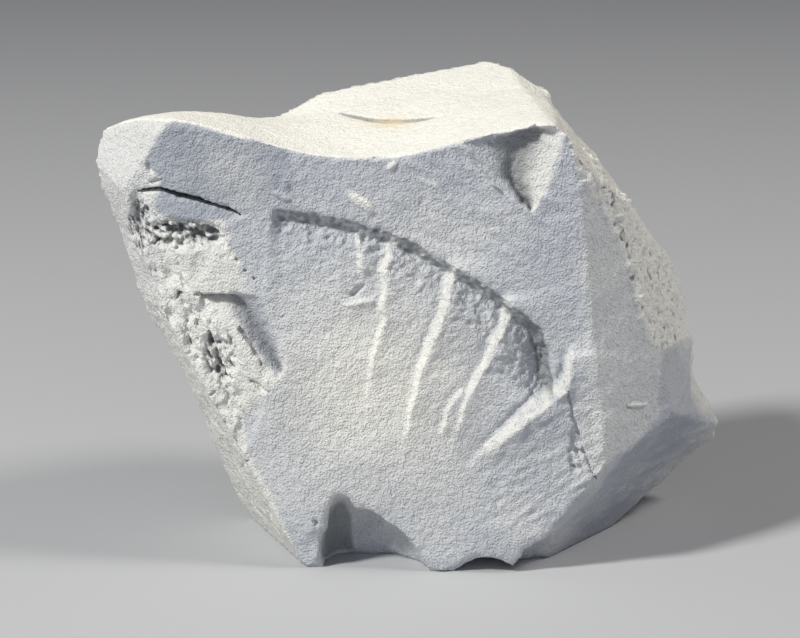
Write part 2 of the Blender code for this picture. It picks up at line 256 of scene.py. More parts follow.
# Outlines of the grey face, where shade is painted, and of the duller plate in its upper left
GREY_FACE = (
    (-27.7, 62.6), (-29.3, 61.5), (-31.2, 59.4), (-32.2, 57.9), (-32.7, 56.1), (-31.0, 54.2), (-31.1, 52.6),
    (-30.6, 50.4), (-28.4, 49.6), (-25.6, 49.8), (-23.4, 49.2), (-22.3, 47.6), (-22.4, 45.3), (-20.9, 43),
    (-20.2, 40.2), (-21.2, 38.2), (-20.0, 35.8), (-18.6, 33.2), (-17.3, 30.9), (-16.0, 28.2), (-15.6, 26.8),
    (-17.2, 25.3), (-19.4, 23.7), (-20.4, 22.4), (-20.8, 21.1), (-20.4, 17.5), (-18.4, 13.6), (-15.8, 7.7),
    (-13.4, 2.1), (-11, -6),
    (24, -6), (60, 8), (60, 33), (35.4, 31.4), (33.2, 31.9), (31.6, 35.9), (30.5, 40.6), (28.6, 46.2),
    (26.2, 50.2), (23.8, 53.9), (22.2, 57.9), (21.2, 63), (20.8, 58.1), (20.1, 55.9), (19.2, 53.3),
    (17.3, 49.7), (15.5, 52.5), (14.6, 54.2), (14.7, 55.9), (15.4, 58.2), (16.7, 59.9), (18.2, 63), (0, 70),
)
PLATE = (
    (-27.7, 62.6), (-29.3, 61.5), (-31.2, 59.4), (-32.2, 57.9), (-32.7, 56.1), (-31.0, 54.2), (-31.1, 52.6),
    (-32.0, 50.4), (-30.9, 49.2), (-28.8, 48.5), (-27, 48.1), (-25.3, 48.7), (-23.1, 48.8), (-20.4, 49.5),
    (-17.4, 50.8), (-14.0, 52.2), (-14.4, 58), (-14, 64),
)

# Outlines of the pitted band on the right shoulder and of the smooth facets at the right tip and under it,
# where painted shade with a bluish painted reflection goes
PITTED = (
    (21.2, 63), (21.4, 60.5), (22.2, 57.9), (23.8, 53.9), (26.2, 50.2), (28.6, 46.2), (30.5, 40.6),
    (31.6, 35.9), (33.2, 31.9), (35.4, 31.4), (38.1, 32.8), (44, 34), (46, 50), (30, 66),
)
TIP = (
    (17.6, -1), (18.1, 4.2), (22.7, 7.7), (26.9, 12.6), (28.6, 15.4), (31.8, 18.9), (34.4, 22.3),
    (34.1, 25.7), (34.6, 31.2), (38.3, 33.2), (42, 33), (46, 28), (48, 20), (30, -1),
)

# Outlines where shade is painted: the recess below the rim, the shaded side of the scoop in the left flank,
# and the left half of the notch
RECESS = (*RECESS_EDGE, *reversed(CHIP_VALLEY))
SCOOP_SIDE = (
    (-22.4, 38.7), (-18.8, 38.5), (-17.3, 35.2), (-16.5, 32.0), (-15.7, 28.8), (-16.3, 27.0), (-17.6, 29.4),
    (-19.4, 31.8), (-21.0, 34.4), (-22.2, 36.6),
)
NOTCH = ((-11.0, -3.0), (-10.6, 5.0), (-9.6, 9.6), (-7.6, 10.6), (-6.4, 8.6), (-6.0, 4.0), (-6.4, -3.0))

# The hollow crease in the top
CREASE = ((-8.8, 63.1), (-6.4, 62.5), (-3.2, 61.9), (0, 61.8), (2.6, 62), (5.3, 62.4))

# Soft spots: centre and half sizes of the pale middle of the front, where the painted shade is thinner, and
# of the stain by the crease
PALE = ((-4.0, 26.0), (14.5, 15.0))
STAIN = ((-1.5, 61.4), (3.2, 0.7))

# The thin ridge along the recess's edge: height, half width, and the heights between which it fades out
RIDGE_HEIGHT = 0.7
RIDGE_WIDTH = 0.2
RIDGE_FADE = (52.4, 53.2)

# What is split besides the front: a strip round the crease, between two places in x, and the right shoulder,
# with its left and back ends, its foot, and how far back its bent faces are split again
CREASE_STRIP = 1.3
CREASE_SPAN = (-12.0, 8.0)
SHOULDER_LEFT = 22.0
SHOULDER_BACK = 6.0
SHOULDER_FOOT = 12.0
SHOULDER_BENT_BACK = 4.0

# Heights of the two layers of fine bump in metres
LUMP_BUMP = 0.00032
GRAIN_BUMP = 0.00024

# The stage in metres: each light's place, width and colour, which its power in KaolinStage goes with
LIGHTS = {
    "key": ((-0.50, -0.38, 0.66), 0.14, (1.0, 0.98, 0.93)),
    "fill": ((0.05, -0.8, 0.25), 0.6, (0.80, 0.87, 1.0)),
    "side": ((0.60, -0.12, 0.72), 0.2, (1.0, 0.95, 0.88)),
}
LIGHTS_AIM = (0.0, 0.0, 0.03)
FLOOR_SIZE = 4.0
FLOOR_COLOUR = (0.46, 0.47, 0.49)
SKY_COLOUR = (0.80, 0.86, 1.0)


class KaolinSizes(bpy.types.PropertyGroup):
    skin: bpy.props.FloatProperty(
        name="Skin spacing", description="Size of the skin's cells away from the front", default=0.8 * MM,
        unit="LENGTH", precision=5)
    swell: bpy.props.FloatProperty(
        name="Swell", description="Height of the slow swells of every face", default=0.45 * MM,
        unit="LENGTH", precision=5)
    lump: bpy.props.FloatProperty(
        name="Lumps", description="Height of the small lumps of every face", default=0.16 * MM,
        unit="LENGTH", precision=5)
    grain: bpy.props.FloatProperty(
        name="Grain", description="Height of the sandy grain", default=0.085 * MM,
        unit="LENGTH", precision=5)
    scarp: bpy.props.FloatProperty(
        name="Scarp depth", description="How deep the face steps back under the scarp", default=2.0 * MM,
        unit="LENGTH", precision=5)
    rib: bpy.props.FloatProperty(
        name="Rib height", description="Height of a full rib above the face", default=1.0 * MM,
        unit="LENGTH", precision=5)
    hackle: bpy.props.FloatProperty(
        name="Hackle height", description="Height of the flaky steps of the shoulders and the back",
        default=0.45 * MM, unit="LENGTH", precision=5)


class KaolinColours(bpy.types.PropertyGroup):
    cream: bpy.props.FloatVectorProperty(
        name="Cream", description="Colour of the fresh breaks and the top", subtype="COLOR", size=3,
        default=(0.87, 0.86, 0.80), min=0.0, max=1.0)
    # This grey is painted shade: the cool grey that the front face and the down-facing right side take for
    # their shade
    shade_grey: bpy.props.FloatVectorProperty(
        name="Grey", description="Colour of the front face", subtype="COLOR", size=3,
        default=(0.535, 0.56, 0.605), min=0.0, max=1.0)
    # This colour is the duller tone of the plate and the specks, and also painted shade in the recess, on
    # the scoop's side and at the right tip, with a bluish painted reflection there
    dull_and_shade: bpy.props.FloatVectorProperty(
        name="Dull", description="Colour of the plate, the tip and the darker specks", subtype="COLOR",
        size=3, default=(0.405, 0.43, 0.485), min=0.0, max=1.0)
    # This colour is painted shade, dark in the pits, hollows, the crease, the scarp's wall and the notch
    hollow_shade: bpy.props.FloatVectorProperty(
        name="Hollow_shade", description="Colour of the deepest pits", subtype="COLOR", size=3,
        default=(0.20, 0.21, 0.22), min=0.0, max=1.0)
    stain: bpy.props.FloatVectorProperty(
        name="Stain", description="Colour of the rusty stain by the crease in the top", subtype="COLOR",
        size=3, default=(0.80, 0.66, 0.40), min=0.0, max=1.0)


class KaolinStage(bpy.types.PropertyGroup):
    key: bpy.props.FloatProperty(
        name="Key light", description="Power of the warm light from the upper left", default=7.8,
        unit="POWER")
    fill: bpy.props.FloatProperty(
        name="Fill light", description="Power of the cool light from the front", default=0.65, unit="POWER")
    side: bpy.props.FloatProperty(
        name="Side light", description="Power of the light from the right", default=3.6, unit="POWER")
    ambient: bpy.props.FloatProperty(
        name="Ambient", description="Strength of the light from all round", default=0.10, min=0.0)


def smoothstep(low, high, value):
    t = np.clip((value - low) / (high - low), 0.0, 1.0)
    return t * t * (3.0 - 2.0 * t)


def as_seen(points):
    """Each point's place (u, v) on the upright front plane, as the eye sees it."""
    c = math.cos(LOOK_DOWN)
    s = math.sin(LOOK_DOWN)
    eye = np.array(EYE_AIM) + EYE_DISTANCE * np.array((0.0, -c, s))
    ray = points - eye
    reach = (FRONT_PLANE - eye[1]) / ray[:, 1]
    return eye[0] + ray[:, 0] * reach, eye[2] + ray[:, 2] * reach


def turned(x, y, turn):
    """The coordinates along and across an axis that is turned from x toward y."""
    c = math.cos(math.radians(turn))
    s = math.sin(math.radians(turn))
    return x * c + y * s, y * c - x * s


def along(path, u, v):
    """Each point's distance from the path, positive on its left, and its share of the way along, 0 to 1."""
    corners = np.array(path, float)
    lengths = np.linalg.norm(np.diff(corners, axis=0), axis=1)
    starts = np.concatenate([[0.0], np.cumsum(lengths)])
    best = np.full(len(u), np.inf)
    side = np.zeros(len(u))
    share = np.zeros(len(u))
    for k, (a, b) in enumerate(zip(corners, corners[1:])):
        d = (b - a) / lengths[k]
        du = u - a[0]
        dv = v - a[1]
        t = np.clip(du * d[0] + dv * d[1], 0.0, lengths[k])
        gap = np.hypot(du - t * d[0], dv - t * d[1])
        nearer = gap < best
        best = np.where(nearer, gap, best)
        side = np.where(nearer, np.sign(d[0] * dv - d[1] * du), side)
        share = np.where(nearer, (starts[k] + t) / starts[-1], share)
    return best * side, share


def rounded(path, steps=5):
    """The path with curved corners: points of a Catmull-Rom curve through it."""
    p = np.array([path[0], *path, path[-1]], float)
    out = []
    for a, b, c, d in zip(p, p[1:], p[2:], p[3:]):
        bend = 2 * a - 5 * b + 4 * c - d
        twist = 3 * b - a - 3 * c + d
        for t in np.arange(steps) / steps:
            out.append(0.5 * (2 * b + (c - a) * t + bend * t**2 + twist * t**3))
    out.append(p[-1])
    return out


def inside(outline, u, v):
    """Whether each point is inside a closed outline."""
    within = np.zeros(len(u), bool)
    for a, b in zip(outline, [*outline[1:], outline[0]]):
        crosses = (a[1] > v) != (b[1] > v)
        rise = b[1] - a[1] or 1e-9
        within ^= crosses & (u < (b[0] - a[0]) * (v - a[1]) / rise + a[0])
    return within


def wander(points, size, shift=0.0):
    """Smooth noise between -1 and 1 at each point, with features of the given size.

    Each use has its own shift, so that no two are alike.
    """
    return np.array([noise.noise(Vector(p)) for p in points / size + shift])


def warped(points):
    """Each point's place on the front plane, moved a little by noise, so that no drawn edge is even."""
    u, v = as_seen(points)
    u = u + 0.24 * wander(points, 1.5, 71.0) + 0.12 * wander(points, 0.6, 73.0)
    v = v + 0.24 * wander(points, 1.5, 75.0) + 0.12 * wander(points, 0.6, 77.0)
    return u, v


def flakes(points, size, shift=0.0):
    """Flaky steps with a few pits between them, from about -1 to 1, at each point."""
    slow = wander(points, size, 31.0 + shift)
    quick = wander(points, size * 0.42, 17.0 + shift)
    level = 3.2 * (slow + 0.5 * quick)
    step = np.floor(level)
    steps = (step + smoothstep(0.62, 1.0, level - step)) / 3.2
    pits = smoothstep(0.22, 0.5, wander(points, size * 0.55, 51.0 + shift))
    return steps - 0.6 * pits


def zone(outline, u, v, soft):
    """1 inside a closed outline and 0 outside it, with an edge of the given softness."""
    gap = np.abs(along([*outline, outline[0]], u, v)[0])
    signed = np.where(inside(outline, u, v), gap, -gap)
    return smoothstep(-soft, soft, signed)


def spot(place, u, v):
    """1 at the middle of a soft spot, falling to 0 around it."""
    (cu, cv), (ru, rv) = place
    return np.exp(-(((u - cu) / ru) ** 2) - ((v - cv) / rv) ** 2)


def top_sheet(x, y):
    """The top's drop at (x, y): the smooth thin plate through TOP_DROPS."""
    spots = np.array([spot for spot, _ in TOP_DROPS], float)
    drops = np.array([drop for _, drop in TOP_DROPS])

    def bend(r):
        return r**2 * np.log(np.maximum(r, 1e-6))

    count = len(spots)
    plain = np.column_stack([np.ones(count), spots])
    between = np.linalg.norm(spots[:, None] - spots[None], axis=2)
    system = np.block([[bend(between), plain], [plain.T, np.zeros((3, 3))]])
    weights = np.linalg.solve(system, np.concatenate([drops, np.zeros(3)]))
    points = np.column_stack([x, y])
    reach = np.linalg.norm(points[:, None] - spots[None], axis=2)
    return bend(reach) @ weights[:count] + weights[count] + points @ weights[count + 1 :]


def scarp_relief(u, v, depth):
    """The step back under the scarp, and where its wall is: a steep wall, then a rise that slows down."""
    below = -along(rounded(SCARP), u, v)[0]
    # It ends low on the right and at its left end, and it is deeper on the right
    ends = smoothstep(23.0, 27.0, v + 0.25 * (u - 18.0)) * smoothstep(-17.2, -15.6, u)
    deeper = 1.0 - 0.2 * smoothstep(2.0, -6.0, u) + 0.35 * smoothstep(12.0, 18.0, u)
    past = np.maximum(below - SCARP_WIDTH, 0.0)
    recovery = sum(share * np.exp(-past / fade) for share, fade in SCARP_RECOVERY)
    wall = ends * smoothstep(0.0, 0.5, below) * smoothstep(SCARP_WIDTH + 1.0, SCARP_WIDTH - 0.4, below)
    return -depth * deeper * smoothstep(0.0, SCARP_WIDTH, below) * recovery * ends, wall


def rib_relief(u, v, height):
    """The ribs, each steep on its left and easy on its right, and where their steep sides, which face the
    key light, get a painted highlight.
    """
    total = np.zeros(len(u))
    shade_lift = np.zeros(len(u))
    for path, strength, (top, middle), keeps in RIBS:
        side, share = along(rounded(path), u, v)
        inner = (share > 0.0) & (share < 1.0)
        size = strength * smoothstep(0.0, 0.09, share) * (1.0 - 0.92 * smoothstep(keeps, 1.0, share))
        steep = np.interp(share, (0.0, 0.5, 1.0), (top, middle, 0.4 * middle))
        rise = np.clip(side / steep + 1.0, 0.0, 1.0)
        fall = np.exp(-np.maximum(side, 0.0) / RIB_FALL)
        foot = -0.26 * np.exp(-(((side + steep + 0.3) / 0.32) ** 2))
        risen = np.maximum(total, height * size * rise * fall)
        total = np.where(inner, risen + height * size * foot, total)
        # Painted highlight on the steep side, which faces the key light
        bright = smoothstep(-steep - 0.15, -steep + 0.3, side) * smoothstep(0.6, -0.3, side)
        shade_lift = np.maximum(shade_lift, inner * bright * np.minimum(1.0, 1.4 * size))
    return total, shade_lift


def ledge_relief(u, v):
    """The small ledges, each a step up on its left side that fades behind."""
    total = np.zeros(len(u))
    for path, height, width, back in LEDGES:
        side, share = along(rounded(path), u, v)
        ends = smoothstep(0.0, 0.2, share) * (1.0 - smoothstep(0.8, 1.0, share))
        past = np.maximum(side - width, 0.0)
        total += height * ends * smoothstep(0.0, width, side) * np.exp(-past / back)
    return total


def groove_relief(u, v):
    """The thin open grooves, which narrow toward their ends."""
    total = np.zeros(len(u))
    for path, depth, half in GROOVES:
        side, share = along(rounded(path), u, v)
        here = half * np.sqrt(np.clip(5.2 * share * (1.0 - share) ** 1.6, 0.0, 1.2)) + 0.02
        gape = np.clip(1.5 - np.abs(side) / here, 0.0, 1.0)
        total = np.minimum(total, -depth * gape * (share > 0.0) * (share < 1.0))
    return total


def slope_relief(u, v):
    """The sloping breaks, and the thin ridge between the recess and the face."""
    total = np.zeros(len(u))
    for deep, edge, depth in SLOPES:
        deep = rounded(deep)
        edge = rounded(edge)
        to_deep = np.abs(along(deep, u, v)[0])
        to_edge = np.abs(along(edge, u, v)[0])
        within = inside([*deep, *reversed(edge)], u, v)
        total = np.minimum(total, -depth * within * to_edge / (to_edge + to_deep + 0.01))
    below_rim = -along(RIM, u, v)[0]
    total *= np.where(u > 4.0, smoothstep(-0.2, 0.9, below_rim), 1.0)
    across = along(rounded(RECESS_EDGE), u, v)[0]
    ridge = RIDGE_HEIGHT * np.exp(-((across / RIDGE_WIDTH) ** 2)) * smoothstep(*RIDGE_FADE, v)
    return total + ridge * smoothstep(0.0, 0.5, below_rim)


def dent_relief(u, v):
    """The dents and bosses, and how much the painted shade is lifted on the bosses."""
    total = np.zeros(len(u))
    shade_lift = np.zeros(len(u))
    for (cu, cv), (ru, rv), turn, depth in DENTS:
        du, dv = turned(u - cu, v - cv, turn)
        shape = 1.0 - np.minimum(np.hypot(du / ru, dv / rv), 1.0) ** 3
        total -= depth * shape
        # The painted shade is lifted on the bosses
        if depth < 0.0:
            shade_lift = np.maximum(shade_lift, np.minimum(1.0, 2.0 * shape))
    return total, shade_lift


def rubble_relief(points, u, v):
    """Broken patches, whose flakes are drawn out along the turn of each."""
    total = np.zeros(len(u))
    for (cu, cv), (ru, rv), turn, size, depth in RUBBLE:
        patch = 1.0 - smoothstep(0.65, 1.15, np.hypot((u - cu) / ru, (v - cv) / rv))
        here = np.flatnonzero(patch > 0.0)
        long, wide = turned(u, v, turn)
        flat = np.column_stack([0.5 * long, wide, points[:, 1]])[here]
        total[here] += depth * patch[here] * (flakes(flat, size) - 0.45)
    return total


def streaks(u, v, turn, length, width, shift):
    """Noise drawn out into streaks that rise to the right by the given turn."""
    long, wide = turned(u, v, turn)
    return wander(np.column_stack([long / length, wide / width, np.full(len(u), shift)]), 1.0)


def ripple_relief(u, v):
    """Faint streaks, which rise to the right low on the front's right and fall to the right high on it."""
    low = smoothstep(7.0, 14.0, u) * smoothstep(26.0, 20.0, v - 0.5 * (u - 18.0)) * smoothstep(4.0, 9.0, v)
    high = smoothstep(-6.0, 4.0, u) * smoothstep(24.0, 18.0, u) * smoothstep(42.0, 47.0, v)
    return 0.24 * low * streaks(u, v, 36, 2.6, 0.7, 3.3) + 0.22 * high * streaks(u, v, -27, 3.6, 1.0, 7.7)


def front_marks(points, facing, sizes):
    """The front's moves forward, how deep each point is in a break, its painted shade, and its shade lift.
    """
    u, v = warped(points)
    ribs, rib_highlight = rib_relief(u, v, sizes.rib / MM)
    rib_highlight = rib_highlight * np.clip(0.8 + 0.8 * wander(points, 0.9, 81.0), 0.0, 1.0)
    dents, boss_shade_lift = dent_relief(u, v)
    hollow = slope_relief(u, v) + dents + rubble_relief(points, u, v) + groove_relief(u, v)
    step, wall = scarp_relief(u, v, sizes.scarp / MM)
    grit = np.clip(-step, 0.0, 1.0) * (0.36 * wander(points, 0.6, 61.0) + 0.26 * wander(points, 1.3, 63.0))
    lean = 0.045 * np.maximum(v - 47.0, 0.0)
    forward = hollow + step + grit + lean + ribs + ledge_relief(u, v) + ripple_relief(u, v)
    # Painted shade on the scarp's wall, with grit in it, in the hollows, and in the left half of the notch
    wall_shade_and_grit = wall * np.clip(1.35 + smoothstep(15.5, 18.5, u) + 1.3 * wander(points, 0.7, 91.0), 0.0, 1.9)
    deep = np.maximum(np.clip(-hollow * facing, 0.0, 3.0), wall_shade_and_grit)
    notch_shade = zone(NOTCH, u, v, 0.8) * smoothstep(-18.2, -16.6, points[:, 1])
    return forward * facing, np.maximum(deep, 1.9 * notch_shade), np.maximum(rib_highlight, boss_shade_lift)


def side_marks(points, rough, sizes):
    """The outward moves of the flaky steps on the sides and the back."""
    broad = 0.7 * smoothstep(0.0, 8.0, points[:, 1]) * flakes(points, 10.0, 2.0)
    hackle = broad + 0.7 * flakes(points, 4.5, 5.0) + 0.35 * flakes(points, 1.9, 8.0)
    return sizes.hackle / MM * rough * hackle


def shoulder_marks(points):
    """The outward moves of the pitted band on the right shoulder, and how deep its pits are, which sets
    their painted shade.
    """
    band = zone(PITTED, *warped(points), 2.3) * smoothstep(10.0, -8.0, points[:, 1])
    pits = flakes(points, 1.5, 12.0)
    return 0.75 * band * pits, 4.0 * band * np.clip(-pits - 0.2, 0.0, 1.0)


def crease_marks(points):
    """The outward moves of the hollow crease in the top, and the painted shade along its dark line."""
    u, v = as_seen(points)
    across, share = along(rounded(CREASE), u, v)
    gape = np.sqrt(np.clip(4.0 * share * (1.0 - share), 0.0, 1.0)) * (share > 0.0) * (share < 1.0)
    before = np.clip(1.0 + across / 0.8, 0.0, 1.0) ** 2
    behind = np.clip(1.0 - across / 0.08, 0.0, 1.0)
    dark = np.exp(-(((across + 0.02) / 0.11) ** 2))
    return -0.6 * gape * np.where(across > 0.0, behind, before), 3.2 * gape * dark


def markings(points, normals, sizes):
    """Each point's move forward and along its normal, its painted shade in breaks and pits, and its shade
    lift.
    """
    forward, outward, deep, shade_lift = np.zeros((4, len(points)))
    off_foot = smoothstep(0.5, 4.0, points[:, 2])
    facing = smoothstep(0.15, 0.5, -normals[:, 1]) * off_foot
    front = np.flatnonzero(facing > 0.0)
    forward[front], deep[front], shade_lift[front] = front_marks(points[front], facing[front], sizes)
    rough = smoothstep(0.55, 0.2, -normals[:, 1]) * smoothstep(0.85, 0.6, normals[:, 2]) * off_foot
    side = np.flatnonzero(rough > 0.0)
    outward[side] = side_marks(points[side], rough[side], sizes)
    right = np.flatnonzero((normals[:, 0] > 0.15) & (points[:, 0] > 18.0) & (normals[:, 2] < 0.85))
    top = np.flatnonzero(normals[:, 2] > 0.6)
    for chosen, marks in ((right, shoulder_marks), (top, crease_marks)):
        move, pits = marks(points[chosen])
        outward[chosen] += move
        deep[chosen] = np.maximum(deep[chosen], pits)
    return forward, outward, deep, shade_lift


def split_faces(stone, chosen):
    """Subdivides the faces chosen, a list of one True or False for each."""
    bpy.ops.object.select_all(action="DESELECT")
    bpy.context.view_layer.objects.active = stone
    stone.select_set(True)
    bpy.ops.object.mode_set(mode="EDIT")
    bpy.ops.mesh.select_mode(type="FACE")
    bpy.ops.mesh.select_all(action="DESELECT")
    bm = bmesh.from_edit_mesh(stone.data)
    for face, wanted in zip(bm.faces, chosen):
        face.select = bool(wanted)
    bmesh.update_edit_mesh(stone.data)
    bpy.ops.mesh.subdivide(number_cuts=1)
    bpy.ops.object.mode_set(mode="OBJECT")


def seen_faces(mesh):
    """The faces of the front, the right shoulder and the strip round the crease in the top."""
    chosen = []
    crease = np.array(rounded(CREASE))
    for face in mesh.polygons:
        x, y, z = face.center / MM
        n = face.normal
        front = n.y < -0.3 and n.z < 0.85
        shoulder = n.x > 0.5 and x > SHOULDER_LEFT and y < SHOULDER_BACK and z > SHOULDER_FOOT
        near = False
        if n.z > 0.6 and CREASE_SPAN[0] < x < CREASE_SPAN[1]:
            u, v = as_seen(np.array([[x, y, z]]))
            near = np.hypot(crease[:, 0] - u[0], crease[:, 1] - v[0]).min() < CREASE_STRIP
        chosen.append(front or shoulder or near)
    return chosen


def bent_faces(mesh, sizes):
    """The faces of the front, the top and the right shoulder that the markings bend."""
    points = read_points(mesh)
    normals = read_normals(mesh)
    forward, outward, _, _ = markings(points, normals, sizes)
    move = forward + outward
    on_shoulder = (points[:, 0] > SHOULDER_LEFT) & (points[:, 1] < SHOULDER_BENT_BACK)
    shoulder = (normals[:, 0] > 0.3) & on_shoulder
    seen = (normals[:, 1] < -0.15) | (normals[:, 2] > 0.6) | shoulder
    chosen = []
    for face in mesh.polygons:
        corners = list(face.vertices)
        moves = move[corners]
        chosen.append(seen[corners].any() and moves.max() - moves.min() > BENT)
    return chosen


def apply_modifier(obj, name, kind, **settings):
    modifier = obj.modifiers.new(name, kind)
    for key, value in settings.items():
        setattr(modifier, key, value)
    bpy.context.view_layer.objects.active = obj
    bpy.ops.object.modifier_apply(modifier=name)


def direction(azimuth, elevation):
    """The outward direction of a fracture plane."""
    a = math.radians(azimuth)
    e = math.radians(elevation)
    return Vector((math.cos(e) * math.sin(a), -math.cos(e) * math.cos(a), math.sin(e)))


def cut_block():
    """A cube with every fracture plane cut through it."""
    bpy.ops.object.select_all(action="DESELECT")
    bpy.ops.mesh.primitive_cube_add(size=START_CUBE * MM, location=(0, 0, 0))
    block = bpy.context.object
    block.name = "kaolin_stone"
    block.data.name = "kaolin_stone"
    bpy.ops.object.mode_set(mode="EDIT")
    for azimuth, elevation, distance in FRACTURES.values():
        normal = direction(azimuth, elevation)
        bpy.ops.mesh.select_all(action="SELECT")
        bpy.ops.mesh.bisect(
            plane_co=(MIDDLE + normal * distance) * MM, plane_no=normal, use_fill=True, clear_outer=True,
            threshold=1e-6)
    bpy.ops.object.mode_set(mode="OBJECT")
    return block


def bite(block, name, centre, half_sizes, turn):
    """Cuts a rounded bite out of the block."""
    bpy.ops.object.select_all(action="DESELECT")
    bpy.ops.mesh.primitive_ico_sphere_add(
        subdivisions=5, radius=1.0, location=Vector(centre) * MM, rotation=(0, math.radians(turn), 0),
        scale=Vector(half_sizes) * MM)
    cutter = bpy.context.object
    apply_modifier(block, name, "BOOLEAN", operation="DIFFERENCE", solver="EXACT", object=cutter)
    bpy.data.objects.remove(cutter, do_unlink=True)


def read_points(mesh):
    flat = np.empty(len(mesh.vertices) * 3, np.float32)
    mesh.vertices.foreach_get("co", flat)
    return flat.reshape(-1, 3).astype(float) / MM


def read_normals(mesh):
    flat = np.empty(len(mesh.vertices) * 3, np.float32)
    mesh.vertex_normals.foreach_get("vector", flat)
    return flat.reshape(-1, 3).astype(float)


def write_points(mesh, points):
    mesh.vertices.foreach_set("co", (points * MM).astype(np.float32).ravel())
    mesh.update()


def beside_bites(points):
    """Whether each point is inside a bite or close to it."""
    beside = np.zeros(len(points), bool)
    for centre, half_sizes, turn in BITES.values():
        x, y, z = (points - np.array(centre)).T
        long, high = turned(x, z, -turn)
        reach = np.array(half_sizes) + BITE_MARGIN
        beside |= (long / reach[0]) ** 2 + (y / reach[1]) ** 2 + (high / reach[2]) ** 2 < 1.0
    return beside


def sharpen_edges(mesh):
    """Brings the skin out to the fracture planes along the edges where they meet."""
    points = read_points(mesh)
    normals = read_normals(mesh)
    planes = np.array([direction(azimuth, elevation) for azimuth, elevation, _ in FRACTURES.values()])
    distances = np.array([distance for _, _, distance in FRACTURES.values()])
    gaps = (points - np.array(MIDDLE)) @ planes.T - distances
    nearest = gaps.argmax(axis=1)
    short = -gaps[np.arange(len(points)), nearest]
    lean = (normals * planes[nearest]).sum(axis=1)
    near = (short < EDGE_REACH) & (lean > 0.6) & ~beside_bites(points)
    points += normals * np.where(near, short / np.maximum(lean, 0.6), 0.0)[:, None]
    write_points(mesh, points)


def shape_form(mesh, sizes):
    """The slow swells and the dished top."""
    points = read_points(mesh)
    off_foot = smoothstep(0.5, 4.0, points[:, 2])
    rise = sizes.swell / MM * wander(points, 13.0) + sizes.lump / MM * wander(points, 4.5, 40.0)
    points += read_normals(mesh) * (rise * off_foot)[:, None]
    points[:, 2] -= top_sheet(points[:, 0], points[:, 1]) * smoothstep(*TOP_FADE, points[:, 2])
    write_points(mesh, points)


def tints(points, normals, shade_lift):
    """How much grey painted shade, how much dull colour and painted shade, and how much stain each point
    takes.
    """
    u, v = warped(points)
    facing = smoothstep(0.1, 0.4, -normals[:, 1])
    below_top = smoothstep(0.75, 0.5, normals[:, 2])
    # The painted shade is thinner in the pale middle and on the right chamfer, which the side light reaches,
    # and is lifted on the ribs' lit sides and the bosses
    pale = spot(PALE, u, v)
    warm = 0.35 * smoothstep(22.5, 26.0, u + 0.05 * (v - 30.0)) * smoothstep(5.0, 14.0, v)
    faint = 0.3 + 0.15 * smoothstep(-30.0, -33.5, u)
    # Grey painted shade on the faces toward the eye, at least faintly on all of them
    shade_grey = facing * np.maximum(zone(GREY_FACE, u, v, 0.35), faint) * below_top
    shade_grey *= (1.0 - pale) * (1.0 - warm) * (1.0 - 0.7 * shade_lift)
    # Dull colour on the plate; painted shade in the recess and on the scoop's shaded side
    dull_and_shade = np.maximum(zone(PLATE, u, v, 0.35), 0.25 * zone(RECESS, u, v, 0.15))
    dull_and_shade = facing * np.maximum(dull_and_shade, 0.8 * zone(SCOOP_SIDE, u, v, 0.5)) * below_top
    # Painted shade and a bluish painted reflection at the right tip, stronger where it faces down, and grey
    # painted shade on the down-facing right side
    right = smoothstep(0.1, 0.3, normals[:, 0]) * smoothstep(11.0, -5.0, points[:, 1])
    under = smoothstep(-0.15, -0.4, normals[:, 2])
    dull_and_shade = np.maximum(dull_and_shade, (0.7 + 0.3 * under) * right * zone(TIP, u, v, 0.3))
    shade_grey = np.maximum(shade_grey, 0.8 * right * under)
    stain = 0.6 * spot(STAIN, u, v) * smoothstep(0.5, 0.7, normals[:, 2])
    return shade_grey, dull_and_shade, stain


def shape_markings(mesh, sizes):
    """The front's scarp, ribs, cracks and chips, the broken flank, and the grain, tints and painted shade of
    every face.
    """
    points = read_points(mesh)
    normals = read_normals(mesh)
    on_foot = (points[:, 2] < FOOT_SNAP) & (normals[:, 2] < -0.9)
    off_foot = smoothstep(0.5, 4.0, points[:, 2])
    forward, outward, deep, shade_lift = markings(points, normals, sizes)
    shade_grey, dull_and_shade, stain = tints(points, normals, shade_lift)
    grain = wander(points, 0.95, 21.0) + 0.6 * wander(points, 2.1, 5.0)
    points += normals * (outward + sizes.grain / MM * grain * off_foot)[:, None]
    points[:, 1] -= forward
    points[on_foot, 2] = 0.0
    points[:, 2] = np.maximum(points[:, 2], 0.0)
    write_points(mesh, points)
    for name, values in (("shade_grey", shade_grey), ("dull_and_shade", dull_and_shade), ("deep", deep), ("stain", stain)):
        attribute = mesh.attributes.new(name, "FLOAT", "POINT")
        attribute.data.foreach_set("value", values.astype(np.float32))


